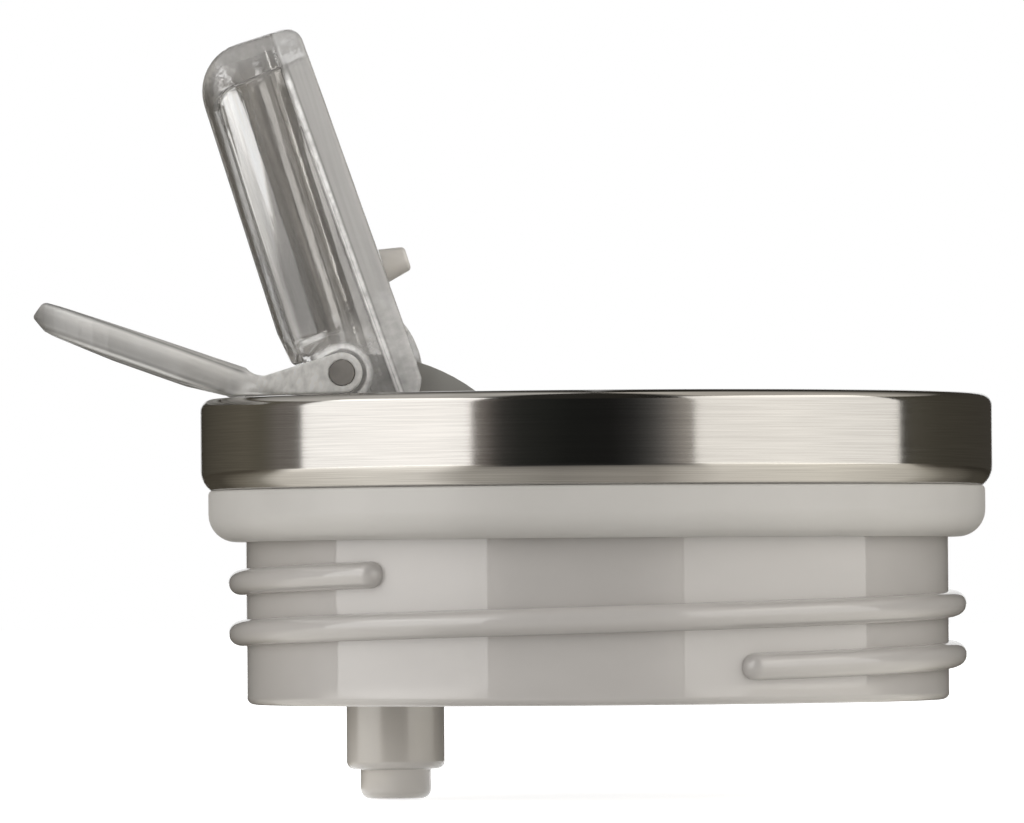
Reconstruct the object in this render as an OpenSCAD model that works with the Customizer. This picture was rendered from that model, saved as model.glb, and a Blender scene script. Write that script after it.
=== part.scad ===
// Screw-in tumbler lid with a steel band, a clear flip-up spout and a clear carry loop.
// Millimetres, +Z up. The origin is on the lid's axis, at the face that seats on the vessel's rim.
// The hinge runs along Y. The spout is drawn open and the loop is drawn hanging out, at rest on the band.

/* [Steel band] */
// Outer diameter of the band
band_d = 80; // [76:1:84]
// Height of the band
band_h = 9.2; // [8:0.2:10]
// Thickness of the sheet
band_t = 0.9; // [0.7:0.1:1.1]
// Radius of the band's rounded edges
band_r = 1.2; // [0.9:0.1:1.4]
// How far the top lip turns inward
band_lip = 1.8; // [1.2:0.1:1.8]

/* [Gasket] */
// Height of the silicone gasket
gasket_h = 5.2; // [4.6:0.2:6]
// How far the gasket's side lies inside the band's side
gasket_inset = 0.75; // [0.5:0.25:1.25]
// Radius of the gasket's lower edge
gasket_r = 2.8; // [2:0.2:2.8]

/* [Threaded body] */
// How far the neck's side lies inside the band's side
neck_inset = 4.5; // [4:0.25:5]
// Depth of the neck below the vessel's rim
neck_depth = 16.4; // [15.4:0.2:18]
// Thickness of the neck's wall
neck_wall = 2.2; // [1.8:0.1:2.4]
// Thickness of the neck's floor
floor_t = 2; // [1.6:0.1:2.4]
// Radius of the neck's lower edge
neck_edge_r = 0.8; // [0.5:0.1:1.2]

/* [Thread] */
// Pitch of the thread
thread_pitch = 5.1; // [4.8:0.1:5.4]
// How far the thread stands proud of the neck
thread_h = 1.8; // [1.2:0.1:2]
// Width of the thread at its root
thread_w = 2.7; // [2.2:0.1:3]
// Height of the thread's centre where it passes the right side for the first time
thread_z = -11.8; // [-12.4:0.1:-11.2]
// Angle at which the thread starts, at its lower end
thread_start = -67; // [-90:1:-40]
// Angle that the thread turns through
thread_turn = 660; // [540:10:670]

/* [Deck] */
// Depth of the deck's top below the top of the band
deck_drop = 0.9; // [0.9:0.1:1.2]
// Thickness of the deck and of its walls
deck_t = 1.8; // [1.5:0.1:2]
// Thickness of the skirt that plugs into the body
skirt_t = 2.8; // [2.6:0.1:3.2]
// Length of the skirt below the deck
skirt_len = 10.7; // [9:0.1:11]
// Section diameter of the deck seal
deck_seal_d = 1.4; // [1.2:0.1:1.5]
// Radius of the finger dish in front of the spout
dish_r = 14; // [12:1:16]

/* [Hinge] */
// Distance of the hinge from the band's side
hinge_inset = 14.5; // [14.3:0.1:15]
// Height of the hinge above the top of the band
hinge_rise = 2.45; // [2.3:0.05:2.7]
// Diameter of the hinge pins
pin_d = 2.5; // [2:0.1:2.8]
// Gap between a pin and what turns on it
pin_gap = 0.06; // [0.03:0.01:0.1]
// Thickness of each hinge ear
ear_t = 2; // [1.8:0.1:2.2]
// Radius of the ears' domed top
ear_r = 18.9; // [18:0.1:19.4]
// Height of the domed top above the hinge
ear_crown = 1.95; // [1.9:0.05:2.1]
// How far the dome's centre lies inward of the hinge
ear_shift = 2; // [1.5:0.1:2.5]

/* [Spout] */
// Angle of the open spout above the deck
spout_angle = 107.35; // [100:0.05:110]
// Length of the spout from the hinge to its mouth
spout_len = 35; // [33:0.5:36]
// Distance of the spout's upper face from the hinge
spout_top = 5.05; // [4.8:0.05:5.4]
// Radius of the turning base
barrel_r = 8; // [7.8:0.1:8.2]
// How far the spout's lower face lies above the turning base's lowest point, at the base
heel_rise = 0.55; // [0.5:0.05:0.8]
// How far the spout's lower face lies above the turning base's lowest point, at the mouth
tip_rise = 1.65; // [1.4:0.05:1.9]
// Width of the spout's base rim
spout_w = 15.8; // [15.6:0.1:16.2]
// How far the base rim stands out on each side
rim_step = 0.7; // [0.4:0.1:0.8]
// Height of the base rim at the hinge
rim_h_base = 2.35; // [2:0.05:2.6]
// Height of the base rim at the mouth
rim_h_tip = 2.85; // [2.5:0.05:3.1]
// Width of the drinking tube inside the spout
tube_w = 7.3; // [7:0.1:7.4]
// Diameter of the drinking bore
bore_d = 4.4; // [4:0.1:4.8]
// How far the bore lies below the hinge when the spout is folded
bore_drop = 1; // [0.8:0.1:1.2]
// Thickness of the spout's upper wall
spout_wall = 1.35; // [1.2:0.05:1.6]
// Gap beside and round what turns
turn_gap = 0.3; // [0.25:0.05:0.35]

/* [Vent] */
// Distance of the vent plug from the hinge
vent_reach = 9.25; // [9:0.05:9.5]
// Diameter of the vent plug at its root
vent_root_d = 3.5; // [3.2:0.1:3.6]
// Diameter of the vent plug at its tip
vent_tip_d = 2.4; // [2:0.1:2.6]
// How far the vent plug stands out of the spout
vent_len = 2.6; // [2.4:0.1:2.8]
// Diameter of the vent bore
vent_bore_d = 1.8; // [1.4:0.1:2]
// Distance from the vent plug inward to the vent tube
vent_step = 5.25; // [5:0.05:5.5]
// Outer diameter of the vent tube
vent_tube_d = 5; // [4.6:0.1:5.4]

/* [Straw stem] */
// Distance from the hinge inward to the straw stem
stem_step = 5; // [4.7:0.1:5.3]
// Outer diameter of the stem's barrel
stem_d = 9.9; // [9.4:0.1:10.4]
// How far the barrel reaches below the neck
stem_reach = 6.6; // [6:0.2:8]
// Outer diameter of the nipple that takes the straw
nipple_d = 7.1; // [6.6:0.1:7.4]
// Length of the nipple
nipple_len = 3; // [2.6:0.2:5]
// Section diameter of the stem seal
stem_seal_d = 1.86; // [1.6:0.02:2]

/* [Carry loop] */
// Distance of the loop's outer end from the hinge, along X
loop_reach = 31.2; // [29:0.2:33]
// Slope of the loop's outer part
loop_slope = 19.9; // [18:0.1:22]
// How far inside the band's side the loop rests on the band
loop_rest = 3.7; // [3.5:0.1:4]
// Thickness of the loop
loop_t = 2.45; // [2.2:0.05:2.6]
// Outer width of the loop
loop_w = 28; // [26:1:32]
// Width of the loop's bar, seen from above
loop_bar = 4.6; // [4:0.2:5.2]
// Radius of the eye that turns on the pin
eye_r = 2.05; // [1.9:0.05:2.1]
// Thickness of the loop's arms where they turn on the pins
arm_t = 1.7; // [1.5:0.1:1.9]

/* [Hidden] */
$fn = 96;

// Gaps between pieces that are fitted, pressed or sealed, and how far a cutter reaches past its solid
fit_gap = 0.1;
press_gap = 0.02;
seal_gap = 0.04;
sink = 0.01;
past = 1;

// Levels and radii that follow from the sizes above
band_top = gasket_h + band_h;
band_in = band_d / 2 - band_t;
band_foot = 0.6;
lip_in = band_in - band_lip;
neck_r = band_d / 2 - neck_inset;
neck_in = neck_r - neck_wall;
neck_floor = floor_t - neck_depth;
deck_top = band_top - deck_drop;
plate_bottom = deck_top - deck_t;
neck_top = plate_bottom - 2 * fit_gap;
skirt_r = neck_in - fit_gap;
skirt_bottom = plate_bottom - skirt_len;
deck_seal_z = skirt_bottom + deck_seal_d + 0.8;
hinge_x = band_d / 2 - hinge_inset;
hinge_z = band_top + hinge_rise;
pin_r = pin_d / 2;

// The layers across the hinge, from the middle outward
ear_in = tube_w / 2 + turn_gap;
ear_out = ear_in + ear_t;
cheek_in = ear_out + turn_gap;
cheek_out = spout_w / 2;
arm_in = cheek_out + turn_gap;
arm_out = arm_in + arm_t;
pin_end = arm_out + fit_gap;

// The spout's lower face, and the step in front of its pivot lugs
under_base = barrel_r - heel_rise;
under_tip = barrel_r - tip_rise;
lug_front = 2.35;

// The trough that the spout folds into, and the dish in front of it
trough_r = barrel_r + turn_gap;
trough_floor = hinge_z - trough_r;
trough_half = cheek_out + 0.5;
trough_end = spout_len - hinge_x + 2;
dish_x = trough_end + 2;
dish_z = deck_top + dish_r * 0.68;

// The block under the trough, with the port, the soft seat and the spigot that the stem fits on
stem_x = hinge_x - stem_step;
port_z = trough_floor - 4.85;
block_half = 6;
seat_gap = 0.12;
seat_t = 1.58;
seat_r = bore_d / 2 + 1;
spigot_r = nipple_d / 2 - fit_gap / 2;
spigot_bottom = port_z - 6.7;

// The vent: a pocket for the plug, a bore inside the block, a spigot and a tube to the body's floor
vent_x = vent_reach - hinge_x;
vent_floor = hinge_z - under_base - vent_len - 0.25;
vent_tube_x = vent_x + vent_step;
vent_spigot_r = 1.6;
vent_spigot_len = 3;

// The bosses in the body's floor, and the recess for the valve
boss_h = 5;
stem_boss_r = stem_d / 2 + 3.4;
vent_boss_r = vent_tube_d / 2 + 1.2;
stem_groove = stem_seal_d + 0.14;
valve_r = 2.9;
valve_recess = 0.8;

// The knee where the loop rests on the band, seen from the hinge
knee_x = loop_rest - hinge_inset;
knee_z = 0.25 - hinge_rise;

// Points of an outline whose corners [x, y, radius] are rounded with arcs
function rounded(corners, steps = 8) = [
    for (i = [0 : len(corners) - 1])
        let (
            n = len(corners),
            p = corners[i],
            a = corners[(i + n - 1) % n],
            b = corners[(i + 1) % n],
            da = [a[0] - p[0], a[1] - p[1]] / norm([a[0] - p[0], a[1] - p[1]]),
            db = [b[0] - p[0], b[1] - p[1]] / norm([b[0] - p[0], b[1] - p[1]]),
            half = acos(da * db) / 2,
            back = p[2] / tan(half),
            mid = (da + db) / norm(da + db),
            c = [p[0], p[1]] + mid * p[2] / sin(half),
            s = [p[0], p[1]] + da * back - c,
            e = [p[0], p[1]] + db * back - c,
            a0 = atan2(s[1], s[0]),
            turn = (atan2(e[1], e[0]) - a0 + 540) % 360 - 180
        )
        each p[2] == 0
            ? [[p[0], p[1]]]
            : [for (k = [0 : steps]) c + p[2] * [cos(a0 + turn * k / steps), sin(a0 + turn * k / steps)]]
];

// Points of an arc
function arc(centre, radius, from, to, steps = 16) =
    [for (k = [0 : steps]) centre + radius * [cos(from + (to - from) * k / steps),
                                              sin(from + (to - from) * k / steps)]];

// A flat outline in the XZ plane, given a thickness along Y
module plate_y(from, to) {
    translate([0, to, 0])
        rotate([90, 0, 0])
            linear_extrude(to - from)
                children();
}

// The same outline on both sides of the middle plane
module both_sides(from, to) {
    plate_y(from, to)
        children();
    plate_y(-to, -from)
        children();
}

// Moves what is drawn round the hinge to the hinge
module at_hinge() {
    translate([-hinge_x, 0, hinge_z])
        children();
}

// Turns what is drawn along +X, as folded, up to the open spout
module opened() {
    at_hinge()
        rotate([0, -spout_angle, 0])
            children();
}

// Cylinder that lies along Y, centred on the hinge
module hinge_rod(radius, from, to) {
    translate([0, to, 0])
        rotate([90, 0, 0])
            cylinder(h = to - from, r = radius);
}

// Cylinder from one point of the XZ plane to another
module rod_between(from, to, radius) {
    run = to - from;
    translate([from[0], 0, from[1]])
        rotate([0, 90 - atan2(run[1], run[0]), 0])
            cylinder(h = norm(run), r = radius);
}

// Steel band: rolled sheet with a lip over the deck and a small turn below
module steel_band() {
    outer = band_d / 2;
    lip_under = deck_top + fit_gap / 2;
    foot_top = gasket_h + band_t;
    color([0.72, 0.71, 0.69])
        rotate_extrude()
            polygon(rounded([
                [outer, gasket_h, band_r],
                [outer, band_top, band_r],
                [lip_in, band_top, 0.3],
                [lip_in, lip_under, 0],
                [band_in, lip_under, 0],
                [band_in, foot_top, 0],
                [band_in - band_foot, foot_top, 0],
                [band_in - band_foot, gasket_h, 0]
            ]));
}

// Gasket: thick silicone ring that seals on the vessel's rim
module rim_gasket() {
    inner = neck_r + fit_gap;
    outer = band_d / 2 - gasket_inset;
    color([0.73, 0.71, 0.69])
        rotate_extrude()
            polygon(rounded([
                [inner, 0, 0],
                [outer, 0, gasket_r],
                [outer, gasket_h, 0.4],
                [inner, gasket_h, 0]
            ], 10));
}

// Section of the thread, scaled down towards both ends
function thread_ring(angle, size) =
    let (
        middle = thread_z + thread_pitch * angle / 360,
        half = thread_w / 2 * (0.4 + 0.6 * size),
        root = neck_r - 0.05,
        inside = neck_r - 0.6
    )
    [
        for (k = [0 : 8])
            let (
                a = -90 + 180 * k / 8,
                r = root + (neck_r - root + thread_h) * size * cos(a)
            )
            [r * cos(angle), r * sin(angle), middle + half * sin(a)],
        for (side = [1, -1])
            [inside * cos(angle), inside * sin(angle), middle + side * half]
    ];

// Thread: one rounded ridge, swept round the neck
module thread() {
    step = 7.5;
    count = floor(thread_turn / step);
    lead_in = 9;
    lead_out = 4;
    side = 11;
    rings = [
        for (i = [0 : count])
            let (
                turned = thread_turn * i / count,
                fade_in = sqrt(min(1, turned / lead_in + 0.02)),
                fade_out = sqrt(min(1, (thread_turn - turned) / lead_out + 0.1))
            )
            thread_ring(thread_start + turned, min(fade_in, fade_out))
    ];
    points = [for (ring = rings) each ring];
    walls = [
        for (i = [0 : count - 1])
            for (k = [0 : side - 1])
                let (a = i * side + k, b = i * side + (k + 1) % side)
                each [[a, b, b + side], [a, b + side, a + side]]
    ];
    caps = [
        for (k = [1 : side - 2])
            each [[0, k + 1, k], [count * side, count * side + k, count * side + k + 1]]
    ];
    polyhedron(points, concat(walls, caps));
}

// Upright cylinder at a distance from the lid's axis, along X
module post(x, from, to, radius) {
    translate([x, 0, from])
        cylinder(h = to - from, r = radius);
}

// Threaded body: the cup that screws into the vessel
module threaded_body() {
    bottom = -neck_depth;
    boss_top = bottom + boss_h;
    color([0.72, 0.70, 0.67])
        difference() {
            union() {
                rotate_extrude()
                    polygon(rounded([
                        [0, bottom, 0],
                        [neck_r, bottom, neck_edge_r],
                        [neck_r, neck_top, 0.3],
                        [neck_in, neck_top, 0.3],
                        [neck_in, neck_floor, 1],
                        [0, neck_floor, 0]
                    ]));
                post(-stem_x, bottom + sink, boss_top, stem_boss_r);
                post(vent_tube_x, bottom + sink, boss_top, vent_boss_r);
                thread();
            }
            post(-stem_x, bottom - past, boss_top + past, stem_d / 2 + fit_gap);
            post(-stem_x, neck_floor, neck_floor + stem_groove, stem_d / 2 + stem_groove);
            post(vent_tube_x, neck_floor, boss_top + past, vent_tube_d / 2 + fit_gap);
            post(vent_tube_x, bottom - past, neck_floor + past, vent_bore_d / 2);
            post(vent_tube_x, bottom - past, bottom + valve_recess, valve_r + 0.3);
        }
}

// Outline of a hinge ear, in the XZ plane: a domed top that runs down to the trough's floor in front
module ear_outline() {
    centre = [ear_shift - hinge_x, hinge_z + ear_crown - ear_r];
    root_r = trough_r + 0.6;
    front = acos((hinge_z - root_r - centre[1]) / ear_r);
    back = acos((deck_top - 0.5 - centre[1]) / ear_r);
    heel = asin((hinge_z - plate_bottom - 0.2) / root_r);
    polygon(concat(
        arc(centre, ear_r, 90 - front, 90 + back, 28),
        arc([-hinge_x, hinge_z], root_r, 180 + heel, 270, 6)
    ));
}

// Deck: the moulded top, with the trough, the hinge ears and the straw passage
module deck() {
    groove_in = neck_in - deck_seal_d - 3 * seal_gap;
    groove_half = deck_seal_d / 2 + fit_gap;
    wall_in = neck_r + 2 * fit_gap;
    foot_in = band_in - band_foot - fit_gap;
    foot_top = gasket_h + band_t + fit_gap;
    block_from = -stem_x - block_half;
    color([0.52, 0.51, 0.49])
        difference() {
            union() {
                rotate_extrude()
                    polygon([
                        [0, plate_bottom], [skirt_r - skirt_t, plate_bottom],
                        [skirt_r - skirt_t, skirt_bottom], [skirt_r, skirt_bottom],
                        [skirt_r, deck_seal_z - groove_half], [groove_in, deck_seal_z - groove_half],
                        [groove_in, deck_seal_z + groove_half], [skirt_r, deck_seal_z + groove_half],
                        [skirt_r, plate_bottom - fit_gap], [wall_in, plate_bottom - fit_gap],
                        [wall_in, gasket_h], [foot_in, gasket_h],
                        [foot_in, foot_top], [band_in - fit_gap, foot_top],
                        [band_in - fit_gap, deck_top], [0, deck_top]
                    ]);
                trough_shell(deck_t);
                translate([block_from, -block_half, port_z])
                    cube([vent_tube_x + vent_boss_r + 0.3 - block_from, 2 * block_half, trough_floor - port_z]);
                post(-stem_x, spigot_bottom, port_z + past, spigot_r);
                post(vent_tube_x, port_z - vent_spigot_len, port_z + past, vent_spigot_r);
                dish_shell(deck_t);
            }
            trough_cavity();
            translate([dish_x, 0, dish_z])
                sphere(r = dish_r);
            straw_passage();
            vent_passage();
            seat_pocket();
        }
    color([0.52, 0.51, 0.49])
        difference() {
            both_sides(ear_in, ear_out)
                ear_outline();
            at_hinge()
                hinge_rod(pin_r + press_gap, -ear_out - past, ear_out + past);
        }
}

// Space of the trough: a quarter barrel under the hinge and a flat run in front of it
module trough_cavity() {
    at_hinge()
        hinge_rod(trough_r, -trough_half, trough_half);
    translate([-hinge_x, -trough_half, trough_floor])
        cube([hinge_x + trough_end, 2 * trough_half, 2 * trough_r]);
}

// Walls round the trough, below the deck and inside the body
module trough_shell(wall) {
    half = trough_half + wall;
    difference() {
        union() {
            at_hinge()
                hinge_rod(trough_r + wall, -half, half);
            translate([-hinge_x, -half, trough_floor - wall])
                cube([hinge_x + trough_end + wall, 2 * half, deck_top - trough_floor + wall]);
        }
        translate([-band_d, -band_d, deck_top])
            cube([2 * band_d, 2 * band_d, band_d]);
        difference() {
            post(0, -past, plate_bottom, band_d);
            post(0, -2 * past, plate_bottom + past, skirt_r);
        }
    }
}

// Wall round the finger dish, below the deck
module dish_shell(wall) {
    intersection() {
        translate([dish_x, 0, dish_z])
            sphere(r = dish_r + wall);
        translate([dish_x - 2 * dish_r, -2 * dish_r, deck_top - dish_r])
            cube([4 * dish_r, 4 * dish_r, dish_r]);
    }
}

// Bore from the spout's base down into the straw stem
module straw_passage() {
    opened()
        translate([0, 0, -bore_drop])
            rotate([0, -90, 0])
                cylinder(h = barrel_r + 7, r = bore_d / 2);
    post(-stem_x, spigot_bottom - past, port_z + 0.8, bore_d / 2);
}

// Pocket for the vent plug, sloped so that the plug can swing in, and the vent bore below it
module vent_passage() {
    half = vent_root_d / 2 + turn_gap;
    right = vent_x + half;
    rise = trough_floor + past;
    plate_y(-half, half)
        polygon([
            [vent_x - half, rise], [vent_x - half, vent_floor], [right - 0.5, vent_floor],
            [right + trough_floor - vent_floor + 0.5, rise]
        ]);
    rod_between([vent_x + 0.3, vent_floor + 0.2], [vent_tube_x + 0.7, port_z + 0.05], vent_bore_d / 2);
    post(vent_tube_x, port_z - vent_spigot_len - past, port_z + 1.6, vent_bore_d / 2 - fit_gap);
}

// Pocket that holds the silicone seat
module seat_pocket() {
    opened()
        translate([past - barrel_r - seat_gap, 0, -bore_drop])
            rotate([0, -90, 0])
                cylinder(h = past + seat_t + press_gap, r = seat_r + press_gap);
}

// Deck seal: ring in the skirt's groove, against the body's wall
module deck_seal() {
    color([0.86, 0.85, 0.83])
        translate([0, 0, deck_seal_z])
            rotate_extrude()
                translate([neck_in - deck_seal_d / 2 - seal_gap, 0])
                    circle(d = deck_seal_d, $fn = 32);
}

// Spout seat: soft pad round the port, hollowed to the barrel's radius
module spout_seat() {
    color([0.82, 0.81, 0.78])
        difference() {
            opened()
                translate([past - barrel_r - seat_gap, 0, -bore_drop])
                    rotate([0, -90, 0])
                        difference() {
                            cylinder(h = seat_t + past, r = seat_r);
                            translate([0, 0, -past])
                                cylinder(h = seat_t + 3 * past, r = bore_d / 2);
                        }
            at_hinge()
                hinge_rod(barrel_r + seat_gap, -barrel_r, barrel_r);
        }
}

// Straw stem: tube from the deck's spigot through the body's floor, with a nipple for the straw
module straw_stem() {
    top = port_z - fit_gap;
    shoulder = -neck_depth - stem_reach;
    tip = shoulder - nipple_len;
    socket_r = spigot_r + fit_gap;
    socket_end = spigot_bottom - 0.3;
    color([0.70, 0.68, 0.65])
        translate([-stem_x, 0, 0])
            rotate_extrude()
                polygon(rounded([
                    [bore_d / 2, tip, 0],
                    [nipple_d / 2, tip, 0.8],
                    [nipple_d / 2, shoulder, 0],
                    [stem_d / 2, shoulder, 1.2],
                    [stem_d / 2, top, 0.4],
                    [socket_r, top, 0],
                    [socket_r, socket_end, 0],
                    [bore_d / 2, socket_end, 0]
                ]));
}

// Stem seal: ring that closes the gap round the stem in the body's floor
module stem_seal() {
    color([0.86, 0.85, 0.83])
        translate([-stem_x, 0, neck_floor + stem_groove / 2])
            rotate_extrude()
                translate([(stem_d + stem_seal_d + fit_gap) / 2, 0])
                    circle(d = stem_seal_d, $fn = 32);
}

// Vent tube: carries air from the deck to the body's floor
module vent_tube() {
    bottom = neck_floor + fit_gap;
    top = port_z - fit_gap;
    socket_r = vent_spigot_r + fit_gap;
    socket_end = port_z - vent_spigot_len - 2 * fit_gap;
    color([0.70, 0.68, 0.65])
        translate([vent_tube_x, 0, 0])
            rotate_extrude()
                polygon([
                    [vent_bore_d / 2, bottom],
                    [vent_tube_d / 2, bottom],
                    [vent_tube_d / 2, top],
                    [socket_r, top],
                    [socket_r, socket_end],
                    [vent_bore_d / 2, socket_end]
                ]);
}

// Vent valve: small silicone umbrella in the floor's recess
module vent_valve() {
    stalk_r = vent_bore_d / 3;
    brim = valve_recess - 0.05;
    color([0.86, 0.85, 0.83])
        translate([vent_tube_x, 0, -neck_depth])
            rotate_extrude()
                polygon([
                    [0, 0.1], [valve_r - 0.5, 0.3], [valve_r, brim],
                    [stalk_r, brim], [stalk_r, floor_t - fit_gap], [0, floor_t - fit_gap]
                ]);
}

// One stub pin, pressed into its ear
module hinge_pin(side) {
    color([0.52, 0.51, 0.49])
        at_hinge()
            rotate([side * 90, 0, 0])
                translate([0, 0, ear_in])
                    cylinder(h = pin_end - ear_in, r = pin_r);
}

module hinge_pin_front() {
    hinge_pin(1);
}

module hinge_pin_back() {
    hinge_pin(-1);
}

// Side outline of the spout, folded: X along the spout from the hinge, Y up
module spout_side() {
    lug = 3.1;
    heel_angle = 180 + asin(under_base / barrel_r);
    lug_angle = 180 - asin(lug / barrel_r);
    polygon(concat(
        rounded([
            [-0.5, lug, 0],
            [lug_front, lug, 0.5],
            [lug_front, spout_top - 1, 0.5],
            [lug_front + 3.5, spout_top, 3],
            [spout_len, spout_top, 4.4],
            [spout_len, -under_tip, 1.9],
            [0, -under_base, 0]
        ]),
        arc([0, 0], barrel_r, heel_angle, lug_angle, 16)
    ));
}

// Points of the tube's round base, from the heel to just past the soft seat when the spout is folded
function base_arc() =
    let (seat_side = asin((bore_drop + seat_r) / (barrel_r + seat_gap)))
    arc([0, 0], barrel_r, 180 + asin(under_base / barrel_r), 183 + spout_angle + seat_side, 16);

// Round base of the tube, which closes the port when the spout is folded
module tube_base() {
    plate_y(-cheek_in + turn_gap, cheek_in - turn_gap)
        polygon(concat(base_arc(), [[4, -4], [-2, -4]]));
}

// Space in the tube's lower face for the soft seat
module seat_notch() {
    points = base_arc();
    wall = 4 * [-cos(spout_angle), -sin(spout_angle)];
    plate_y(-ear_in, ear_in)
        polygon(concat([for (i = [5 : 16]) points[i]], [points[16] + wall, 1.5 * points[5]]));
}

// Rim band along the spout's lower face, which stands out sideways
module spout_rim_side() {
    low = -barrel_r - past;
    intersection() {
        spout_side();
        polygon([
            [low, rim_h_base - under_base], [spout_len - 2, rim_h_tip - under_tip],
            [spout_len + past, rim_h_tip - under_tip], [spout_len + past, low], [low, low]
        ]);
    }
}

// End outline of the spout's hood: rounded on top
module hood_end(half, top_r) {
    polygon(rounded([
        [-half, -barrel_r - past, 0],
        [half, -barrel_r - past, 0],
        [half, spout_top, top_r],
        [-half, spout_top, top_r]
    ]));
}

// Plan of the spout, seen from above: rounded mouth
module spout_plan(half) {
    base = -barrel_r - 2 * past;
    translate([0, 0, -1.5 * barrel_r])
        linear_extrude(3 * barrel_r)
            polygon(rounded([
                [base, -half, 0],
                [spout_len + sink, -half, 3.4],
                [spout_len + sink, half, 3.4],
                [base, half, 0]
            ]));
}

// Slots beside the drinking tube: the ears stand in them
module spout_slots() {
    roof = spout_top - spout_wall;
    end = spout_len - 4.2;
    open = -1.5 * barrel_r;
    both_sides(ear_in - turn_gap, cheek_in)
        polygon(rounded([
            [open, open, 0],
            [end + 1.2, open, 0],
            [end, roof, 2.2],
            [lug_front, roof, 0],
            [lug_front, spout_top + 4 * past, 0],
            [open, spout_top + 4 * past, 0]
        ]));
}

// Spout: clear moulding with a drinking tube between two side walls, open below for the ears
module spout() {
    hood_half = cheek_out - rim_step;
    base = -barrel_r - 2 * past;
    color([0.80, 0.82, 0.84, 0.45])
        opened()
            difference() {
                union() {
                    intersection() {
                        plate_y(-hood_half, hood_half)
                            spout_side();
                        translate([base, 0, 0])
                            rotate([90, 0, 90])
                                linear_extrude(spout_len - 2 * base)
                                    hood_end(hood_half, 3);
                        spout_plan(hood_half);
                    }
                    intersection() {
                        plate_y(-cheek_out, cheek_out)
                            spout_rim_side();
                        spout_plan(cheek_out);
                    }
                    tube_base();
                }
                spout_slots();
                seat_notch();
                translate([base, 0, -bore_drop])
                    rotate([0, 90, 0])
                        cylinder(h = spout_len - 2 * base, r = bore_d / 2);
                translate([spout_len - 0.45, 0, -bore_drop])
                    rotate([0, 90, 0])
                        cylinder(h = 3, r1 = bore_d / 2 + 0.1, r2 = bore_d / 2 + 3);
                hinge_rod(pin_r + pin_gap, -cheek_out - past, -ear_in);
                hinge_rod(pin_r + pin_gap, ear_in, cheek_out + past);
            }
}

// Vent plug: soft tapered nub in the spout's lower face
module vent_plug() {
    nose = 0.6;
    color([0.69, 0.67, 0.64])
        opened()
            translate([vent_reach, 0, -under_base - vent_len + 0.25])
                union() {
                    cylinder(h = nose, r1 = vent_tip_d / 2 - 0.3, r2 = vent_tip_d / 2);
                    translate([0, 0, nose])
                        cylinder(h = vent_len - nose, r1 = vent_tip_d / 2, r2 = vent_root_d / 2);
                }
}

// Side outline of the loop's arm, in the XZ plane
module arm_side() {
    circle(r = eye_r);
    polygon([
        [0, -eye_r], [0, eye_r], [-0.8, eye_r - 0.15],
        [knee_x + 3, knee_z + loop_t - 0.5], [knee_x, knee_z + loop_t],
        [knee_x - 1, knee_z + 0.36], [knee_x, knee_z]
    ]);
}

// Side outline of the loop's sloping outer part
module blade_side() {
    run = loop_reach + knee_x;
    slope = tan(loop_slope);
    polygon(rounded([
        [knee_x, knee_z, 0],
        [knee_x + 2.6, knee_z + loop_t * 0.5, 0.4],
        [knee_x + 1.2, knee_z + loop_t, 0.6],
        [knee_x - run + 1, knee_z + run * slope + loop_t + 0.1, 1],
        [knee_x - run, knee_z + run * slope + 0.6, 0.6],
        [knee_x - run + 0.9, knee_z + (run - 0.9) * slope, 0.6]
    ]));
}

// Plan of the loop: a bail that starts at the arms, flares and closes in a round end
module loop_plan(half, bar) {
    root = knee_x + 2.8;
    bend = knee_x - 0.2;
    inner_bend = knee_x - 1.6;
    flare = knee_x - 6.2;
    end = -loop_reach - 0.5;
    translate([0, 0, -loop_w])
        linear_extrude(2 * loop_w)
            difference() {
                polygon(rounded([
                    [root, arm_out, 0], [bend, arm_out, 4], [flare, half, 6],
                    [end, half, 10], [end, -half, 10],
                    [flare, -half, 6], [bend, -arm_out, 4], [root, -arm_out, 0]
                ]));
                polygon(rounded([
                    [root + past, arm_in, 0], [inner_bend, arm_in, 3], [flare - 2, half - bar, 4],
                    [end + bar, half - bar, 6], [end + bar, bar - half, 6],
                    [flare - 2, bar - half, 4], [inner_bend, -arm_in, 3], [root + past, -arm_in, 0]
                ]));
            }
}

// Carry loop: clear bail with two arms on the hinge pins
module carry_loop() {
    half = loop_w / 2;
    color([0.80, 0.82, 0.84, 0.45])
        at_hinge()
            difference() {
                union() {
                    both_sides(arm_in, arm_out)
                        arm_side();
                    intersection() {
                        plate_y(-half, half)
                            blade_side();
                        loop_plan(half, loop_bar);
                    }
                }
                hinge_rod(pin_r + pin_gap, -half, half);
            }
}

steel_band();
rim_gasket();
threaded_body();
deck();
deck_seal();
spout_seat();
straw_stem();
stem_seal();
vent_tube();
vent_valve();
hinge_pin_front();
hinge_pin_back();
spout();
vent_plug();
carry_loop();
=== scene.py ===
import math

import bpy
import bmesh
import numpy as np
from mathutils import Matrix, Vector


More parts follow.
